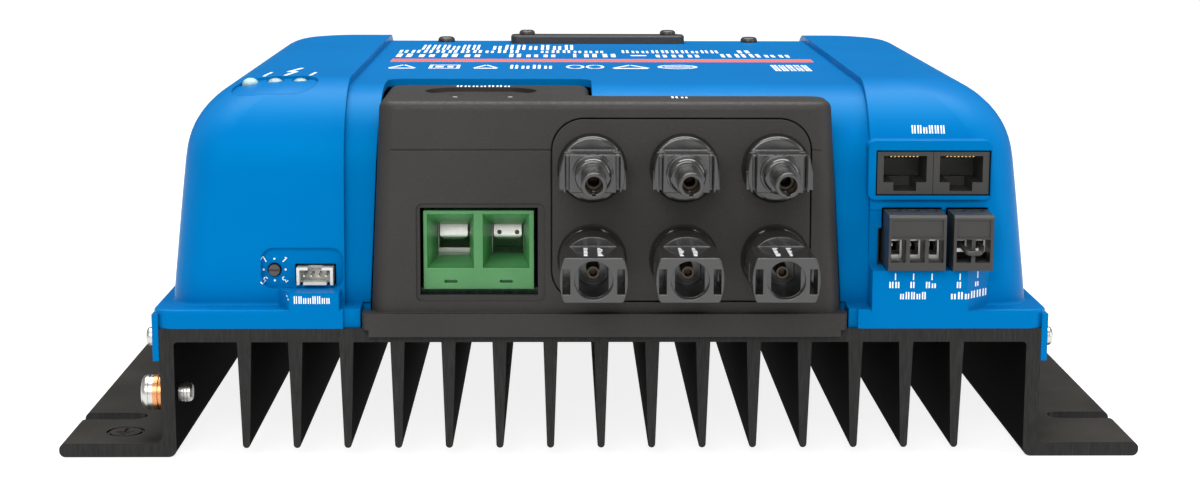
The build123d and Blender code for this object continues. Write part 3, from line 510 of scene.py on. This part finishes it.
def print_on(name, surface, strokes, material):
    """Lays strokes on a surface as thin closed solids of ink."""
    bm = bmesh.new()
    for left, right in strokes:
        rows = []
        for a, b in zip(left, right):
            spots = [surface.point(a, INK_RISE), surface.point(b, INK_RISE)]
            spots += [surface.point(b, -INK_SINK), surface.point(a, -INK_SINK)]
            rows.append([bm.verts.new(spot) for spot in spots])
        skin(bm, rows)
    piece(name, bm, material)


def word(x, y, letters, weight=0.24):
    """A row of plain posts, two to a letter, in the place of a word."""
    pitch = (x[1] - x[0]) / letters
    tall = y[1] - y[0]
    width = pitch * weight
    marks = []
    for i in range(letters):
        high = y[0] + tall * random.choice(POST_HEIGHTS)
        for start in (x[0] + i * pitch, x[0] + (i + SECOND_POST) * pitch):
            middle = start + width / 2
            marks.append(stroke(((middle, y[0]), (middle, high)), width))
    return marks


def ring(centre, radius, width, squash=1.0):
    """A closed round or oval outline."""
    angles = [math.radians(360.0 * i / RING_SIDES) for i in range(RING_SIDES + 1)]
    points = [(radius * math.cos(a), radius * math.sin(a)) for a in angles]
    return stroke([(centre[0] + x, centre[1] + y * squash) for x, y in points], width)


def frame_outline(x, y, width):
    """A plain rectangular outline."""
    half = width / 2
    return [
        bar((x[0], x[1]), (y[0], y[0] + width)),
        bar((x[0], x[1]), (y[1] - width, y[1])),
        stroke(((x[0] + half, y[0] + width), (x[0] + half, y[1] - width)), width),
        stroke(((x[1] - half, y[0] + width), (x[1] - half, y[1] - width)), width),
    ]


def triangle(x, y, width, base):
    """An upright triangular outline with a heavier foot."""
    middle = (x[0] + x[1]) / 2
    sides = [stroke(((x[0], y[0] + base), (middle, y[1])), width)]
    sides += [stroke(((x[1], y[0] + base), (middle, y[1])), width)]
    return sides + [bar(x, (y[0], y[0] + base))]


def digit(shape, centre, lean):
    """A numeral's stroke, from points on a unit grid two high, turned by lean degrees."""
    turn = Matrix.Rotation(math.radians(lean), 2)
    points = [Vector(centre) + turn @ Vector(point) * DIGIT_SIZE for point in shape]
    return stroke(points, DIGIT_SIZE * DIGIT_WEIGHT)


def around_dial(radius, angle):
    """A spot at a radius and an angle in degrees from the dial's centre."""
    a = math.radians(angle)
    return (DIAL_CENTRE[0] + radius * math.cos(a), DIAL_CENTRE[1] + radius * math.sin(a))


# main label on the top: a red stripe, three lines behind it and a row of symbols before it
STRIPE = ((-64.0, 68.0), (-6.5, 3.0))
LINE_1 = (37.5, 55.5)
LINE_2 = (25.6, 35.2)
LINE_3 = (10.4, 21.6)
LABEL_WORDS = (
    ((-57.0, -37.0), LINE_1, 6),
    ((-33.5, -5.6), LINE_1, 7),
    ((-63.7, -23.5), LINE_2, 10),
    ((-17.5, 4.0), LINE_2, 6),
    ((9.0, 41.5), LINE_2, 10),
    ((47.0, 52.5), LINE_2, 1),
    ((-63.6, -34.5), LINE_3, 4),
    ((-27.5, -11.0), LINE_3, 3),
    ((-3.5, 8.5), LINE_3, 2),
    ((19.5, 35.0), LINE_3, 3),
    ((40.5, 63.8), LINE_3, 5),
)
DIVIDER = (-7.0, -6.0)
DASH = ((11.5, 16.5), (14.6, 17.4))
ICON_ROW = (-28.5, -17.0)
ICON_INNER = (-25.0, -20.5)
ICON_MIDDLE = -22.7
SIDE_BLOCK_X = (53.3, 64.8)
SIDE_BLOCK_LOW = -34.8
SIDE_BLOCK_ROWS = 5
SIDE_BLOCK_STEP = 4.0
SIDE_BLOCK_TALL = 2.6


def print_label(top):
    """The main label's stripe, lines and symbols."""
    print_on("label_stripe", top, [bar(*STRIPE)], "print_red")
    label = []
    for x, y, letters in LABEL_WORDS:
        label += word(x, y, letters)
    label += [bar(DIVIDER, LINE_3), bar(*DASH)]
    print_on("label_lines", top, label, "print_white")
    icons = triangle((-62.8, -55.1), ICON_ROW, 0.9, 1.8)
    icons += frame_outline((-50.9, -41.6), ICON_ROW, 1.0)
    icons += [bar((-49.0, -46.6), ICON_INNER), bar((-45.4, -43.6), ICON_INNER)]
    icons += triangle((-37.1, -30.3), ICON_ROW, 0.9, 1.8)
    icons += word((-26.3, -12.6), ICON_ROW, 4)
    icons += [ring((x, ICON_MIDDLE), 2.4, 0.8, 2.2) for x in (-6.6, -0.6)]
    icons += triangle((5.0, 15.4), ICON_ROW, 1.0, 2.0)
    icons += [ring((24.5, ICON_MIDDLE), 5.6, 1.0), bar((20.6, 28.4), (-23.6, -21.8))]
    for row in range(SIDE_BLOCK_ROWS):
        low = SIDE_BLOCK_LOW + row * SIDE_BLOCK_STEP
        icons += word(SIDE_BLOCK_X, (low, low + SIDE_BLOCK_TALL), 5, 0.34)
    print_on("label_symbols", top, icons, "print_white")


LAMP_TICKS = (
    (((-93.4, -62.0), (-94.6, -70.5)), 0.8),
    (((-86.2, -49.0), (-89.0, -60.5), (-86.6, -59.5), (-88.6, -70.5)), 1.1),
    (((-80.9, -62.0), (-81.6, -70.5)), 0.8),
)


def print_lamp_symbols(top):
    """A mark behind each lamp."""
    marks = [stroke(points, width) for points, width in LAMP_TICKS]
    print_on("lamp_symbols", top, marks, "print_white")


# legends on the front of the cover: X of each pole with its letters, and the rows in Z
POLES = ((79.4, 2), (84.3, 1), (89.3, 2), (96.9, 1), (102.3, 1))
POLE_TICK = (49.1, 50.9)
POLE_ROW = (46.9, 48.6)
PLUG_ROW = (43.8, 45.8)
HALF_LETTER = 0.8


def print_front_legends(front):
    """Words above the jacks, below the plugs and below the data port."""
    print_on("jack_legend", front, word((84.8, 94.3), (87.4, 89.5), 6), "print_white")
    marks = [stroke(((x, POLE_TICK[0]), (x, POLE_TICK[1])), 0.3) for x, letters in POLES]
    for x, letters in POLES:
        half = HALF_LETTER * letters
        marks += word((x - half, x + half), POLE_ROW, letters)
    marks += word((80.8, 88.2), PLUG_ROW, 5)
    marks += word((94.6, 105.9), PLUG_ROW, 6)
    print_on("plug_legend", front, marks, "print_white")
    print_on("port_legend", front, word((-82.9, -72.9), (42.6, 44.7), 8), "print_white")


ONE = ((-0.45, 0.6), (0.1, 1.0), (0.1, -1.0))
THREE = (
    (-0.5, 0.95),
    (0.45, 0.95),
    (-0.05, 0.15),
    (0.45, -0.15),
    (0.45, -0.7),
    (0.1, -1.0),
    (-0.5, -0.85),
)
FIVE = (
    (0.5, 1.0),
    (-0.45, 1.0),
    (-0.5, 0.1),
    (0.2, 0.15),
    (0.5, -0.3),
    (0.3, -0.9),
    (-0.5, -0.95),
)
SEVEN = ((-0.5, 1.0), (0.5, 1.0), (-0.1, -1.0))
DIAL_DIGITS = ((ONE, 45), (THREE, -45), (FIVE, 225), (SEVEN, 135))
DIAL_DOTS = ((-85.3, 45.3), (-84.9, 44.5), (-84.5, 43.7))
DOT_HALF = 0.2


def print_dial_scale(front):
    """Ticks and numerals around the dial, and three dots below it."""
    marks = []
    for angle in (0, 90, 180, 270):
        marks.append(stroke([around_dial(radius, angle) for radius in DIAL_TICKS], 0.5))
    for shape, angle in DIAL_DIGITS:
        marks.append(digit(shape, around_dial(DIAL_DIGITS_R, angle), angle - 90))
    for x, z in DIAL_DOTS:
        marks.append(bar((x - DOT_HALF, x + DOT_HALF), (z - DOT_HALF, z + DOT_HALF)))
    print_on("dial_scale", front, marks, "print_white")


def print_cover_legend(black_top):
    """A word behind the screwdriver holes, a plus and a minus before them, and a word on the right."""
    marks = word((-40.6, -24.8), (-66.6, -62.8), 7)
    marks += [bar((-40.4, -39.2), (-93.5, -93.0)), stroke(((-39.8, -93.9), (-39.8, -92.6)), 0.35)]
    marks += [bar((-25.4, -24.2), (-93.5, -93.0))]
    marks += word((19.1, 24.3), (-95.6, -91.5), 2)
    print_on("cover_legend", black_top, marks, "print_white")


SLEEVE_ROWS = 6
SLEEVE_START = -135.0
SLEEVE_STEP = 2.1
SLEEVE_MARK = 1.1
SLEEVE_COLUMNS = (-2.5, 1.1)


def print_sleeve_marks(number, x):
    """Two columns of short dashes on top of a sleeve connector."""
    sleeve_top = Surface(f"pv_sleeve_{number}", (0, 0, 60), (1, 0, 0), (0, 1, 0))
    marks = []
    for row in range(SLEEVE_ROWS):
        low = SLEEVE_START + row * SLEEVE_STEP
        for column in SLEEVE_COLUMNS:
            start = x + column
            width = random.uniform(0.7, 1.4)
            marks.append(bar((start, start + width), (low, low + SLEEVE_MARK)))
    print_on(f"sleeve_marks_{number}", sleeve_top, marks, "print_white")


cover_top = Surface("cover", (0, 0, 98), (1, 0, 0), (0, 1, 0))
cover_front = Surface("cover", (0, -100, 0), (1, 0, 0), (0, 0, 1))
terminal_top = Surface("terminal_cover", (0, 0, 96), (1, 0, 0), (0, 1, 0))
print_label(cover_top)
print_lamp_symbols(cover_top)
print_front_legends(cover_front)
print_dial_scale(cover_front)
print_cover_legend(terminal_top)
for number, x in enumerate(CONNECTOR_X, start=1):
    print_sleeve_marks(number, x)


# ---------------------------------------------------------------- earth screw thread

THREAD_RADIUS = 2.42
THREAD_PITCH = 0.8
THREAD_LENGTH = 2.7
THREAD_HEIGHT = 0.22
THREAD_SINK = 0.2
THREAD_STEPS = 32
# half widths of the ridge in pitches, and how far its ends run out
FOOT_HALF = 0.36
CREST_HALF = 0.07
RUN_OUT = 0.05


def make_thread():
    """The helical ridge on the tip of the earth screw, wound along X."""
    bm = bmesh.new()
    axis = Vector((1, 0, 0))
    side = axis.orthogonal().normalized()
    other = axis.cross(side)
    turns = THREAD_LENGTH / THREAD_PITCH
    foot = THREAD_RADIUS - THREAD_SINK
    rows = []
    for i in range(int(turns * THREAD_STEPS) + 1):
        a = 2 * math.pi * i / THREAD_STEPS
        along = Vector(EARTH_THREAD_START) + axis * (i * THREAD_PITCH / THREAD_STEPS)
        out = side * math.cos(a) + other * math.sin(a)
        ends = min(1.0, i / THREAD_STEPS, (turns * THREAD_STEPS - i) / THREAD_STEPS)
        crest = THREAD_RADIUS + THREAD_HEIGHT * max(ends, RUN_OUT)
        spots = (
            along + out * foot - axis * THREAD_PITCH * FOOT_HALF,
            along + out * crest - axis * THREAD_PITCH * CREST_HALF,
            along + out * crest + axis * THREAD_PITCH * CREST_HALF,
            along + out * foot + axis * THREAD_PITCH * FOOT_HALF,
        )
        rows.append([bm.verts.new(spot * MM) for spot in spots])
    skin(bm, rows)
    piece("earth_screw_thread", bm, "steel_screw")


make_thread()


# ---------------------------------------------------------------- lamp lenses and contact lips

LATHE_SIDES = 36
DOME_STEPS = 12
DOME_ANGLE = 8

LENS_R = 2.35
LENS_FOOT = 98.4
LENS_RISE = 1.8
STRIP_LOW = 72.0
STRIP_TOP = 75.0
STRIP_HALF = 2.5
STRIP_PAST = 3.0

LIP_TOP = 60.8
LIP_TALL = 4.4
LIP_FRONT = -84.85
LIP_LEAN = 0.95
LIP_CURL = 0.7
LIP_HALF = 3.9
LIP_NARROWING = 1.3
LIP_T = 0.6
LIP_STEPS = 12
LIP_BEND = 0.7

RIVET_X = (-28.1, -23.2)
RIVET_Y = -85.0
RIVET_Z = 58.4
RIVET_R = 0.62
RIVET_FOOT = 0.5
RIVET_RISE = 0.2


def lathe(bm, start, axis, profile):
    """A closed turned form along an axis; the profile holds (radius, distance) pairs."""
    axis = Vector(axis)
    side = axis.orthogonal().normalized()
    other = axis.cross(side)
    angles = [2 * math.pi * i / LATHE_SIDES for i in range(LATHE_SIDES)]
    rings = []
    for radius, distance in profile:
        middle = Vector(start) + axis * distance
        spots = [middle + (side * math.cos(a) + other * math.sin(a)) * radius for a in angles]
        rings.append([bm.verts.new(spot * MM) for spot in spots])
    skin(bm, rings, True)


def dome(radius, foot, height, base):
    """Profile of a pipe from its base to a flattened dome that starts at foot."""
    steps = [math.radians(DOME_ANGLE * i) for i in range(DOME_STEPS)]
    return [(radius, base)] + [(radius * math.cos(a), foot + height * math.sin(a)) for a in steps]


def make_lenses():
    """Three flattened lamp lenses on one foot strip."""
    bm = bmesh.new()
    for x in LENS_X:
        lathe(bm, (x, LENS_Y, 0), (0, 0, 1), dome(LENS_R, LENS_FOOT, LENS_RISE, STRIP_TOP))
    corners = (
        (-STRIP_HALF, STRIP_LOW),
        (STRIP_HALF, STRIP_LOW),
        (STRIP_HALF, STRIP_TOP),
        (-STRIP_HALF, STRIP_TOP),
    )
    rings = []
    for x in (LENS_X[0] - STRIP_PAST, LENS_X[2] + STRIP_PAST):
        rings.append([bm.verts.new(Vector((x, LENS_Y + y, z)) * MM) for y, z in corners])
    skin(bm, rings)
    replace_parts(piece("lamp_lenses", bm, "lamp_lens"), "light_pipes")


def contact_lip(number, x):
    """Bent plate in front of a battery contact bar; its lower end narrows and curls back."""
    bm = bmesh.new()
    rings = []
    for i in range(LIP_STEPS + 1):
        t = i / LIP_STEPS
        bend = max(0.0, (t - LIP_BEND) / (1 - LIP_BEND)) ** 2
        z = LIP_TOP - LIP_TALL * t
        y = LIP_FRONT - LIP_LEAN * t + LIP_CURL * bend
        half = LIP_HALF - LIP_NARROWING * bend
        corners = ((-half, y), (half, y), (half, y + LIP_T), (-half, y + LIP_T))
        rings.append([bm.verts.new(Vector((x + dx, dy, z)) * MM) for dx, dy in corners])
    skin(bm, rings)
    piece(f"contact_lip_{number}", bm, "nickel_cage")


def contact_rivets():
    """Dull rivet heads of the right-hand lip."""
    bm = bmesh.new()
    for x in RIVET_X:
        lathe(bm, (x, RIVET_Y, RIVET_Z), (0, -1, 0), dome(RIVET_R, RIVET_FOOT, RIVET_RISE, 0.0))
    piece("contact_rivets", bm, "dull_contact")


make_lenses()
for number, x in enumerate(BATTERY_X, start=1):
    contact_lip(number, x)
contact_rivets()


# ---------------------------------------------------------------- floor and light

FLOOR_SIZE = 12.0
FLOOR_DROP = 0.0002
FLOOR_GLOW = 0.86


def make_floor():
    """A plain pale floor that stays almost white under the soft light."""
    bm = bmesh.new()
    bmesh.ops.create_grid(bm, x_segments=2, y_segments=2, size=FLOOR_SIZE)
    mesh = bpy.data.meshes.new("floor")
    bm.to_mesh(mesh)
    bm.free()
    floor = bpy.data.objects.new("floor", mesh)
    floor.location = (0, 0, -FLOOR_DROP)
    scene.collection.objects.link(floor)
    g = Graph("floor_paper")
    cloud = g.noise(3.0, 3.0)
    tones = [(0.3, (0.27, 0.27, 0.27)), (0.7, (0.29, 0.29, 0.29))]
    g.link(g.ramp(cloud, tones), g.shader.inputs["Base Color"])
    g.link(g.spread(cloud, 0.75, 0.85), g.shader.inputs["Roughness"])
    g.shader.inputs["Emission Color"].default_value = (1, 1, 1, 1)
    g.shader.inputs["Emission Strength"].default_value = FLOOR_GLOW
    g.bumps([(g.noise(500.0, 2.0), 0.05, 0.05)])
    mesh.materials.append(g.material)


make_floor()


# brightness of the surroundings against the direction along Y
WORLD_FADE = (("From Min", 0.45), ("From Max", 0.9), ("To Min", 0.5), ("To Max", 0.04))


def make_world():
    """An even pale studio that is darker behind the object."""
    world = bpy.data.worlds.new("studio")
    world.use_nodes = True
    tree = world.node_tree
    back = tree.nodes["Background"]
    coords = tree.nodes.new("ShaderNodeTexCoord")
    split = tree.nodes.new("ShaderNodeSeparateXYZ")
    tree.links.new(coords.outputs["Generated"], split.inputs["Vector"])
    fade = tree.nodes.new("ShaderNodeMapRange")
    for key, value in WORLD_FADE:
        fade.inputs[key].default_value = value
    tree.links.new(split.outputs["Y"], fade.inputs["Value"])
    back.inputs["Color"].default_value = (1.0, 1.0, 1.0, 1.0)
    tree.links.new(fade.outputs["Result"], back.inputs["Strength"])
    scene.world = world


make_world()
scene.view_settings.view_transform = "Standard"


def softbox(name, place, target, size, power):
    """A rectangular soft light aimed at a point; mm and watts."""
    data = bpy.data.lights.new(name, "AREA")
    data.shape = "RECTANGLE"
    data.size = size[0] * MM
    data.size_y = size[1] * MM
    data.energy = power
    lamp = bpy.data.objects.new(name, data)
    aim = (Vector(target) - Vector(place)).normalized()
    turn = aim.to_track_quat("-Z", "Y").to_matrix().to_4x4()
    lamp.matrix_world = Matrix.Translation(Vector(place) * MM) @ turn
    scene.collection.objects.link(lamp)


softbox("top_light", (0, 150, 1200), (0, 0, 60), (1300, 1000), 23)
softbox("front_light", (-250, -1300, 800), (0, -60, 50), (1100, 700), 12.5)
softbox("right_light", (1100, -700, 500), (60, 0, 60), (500, 700), 4)
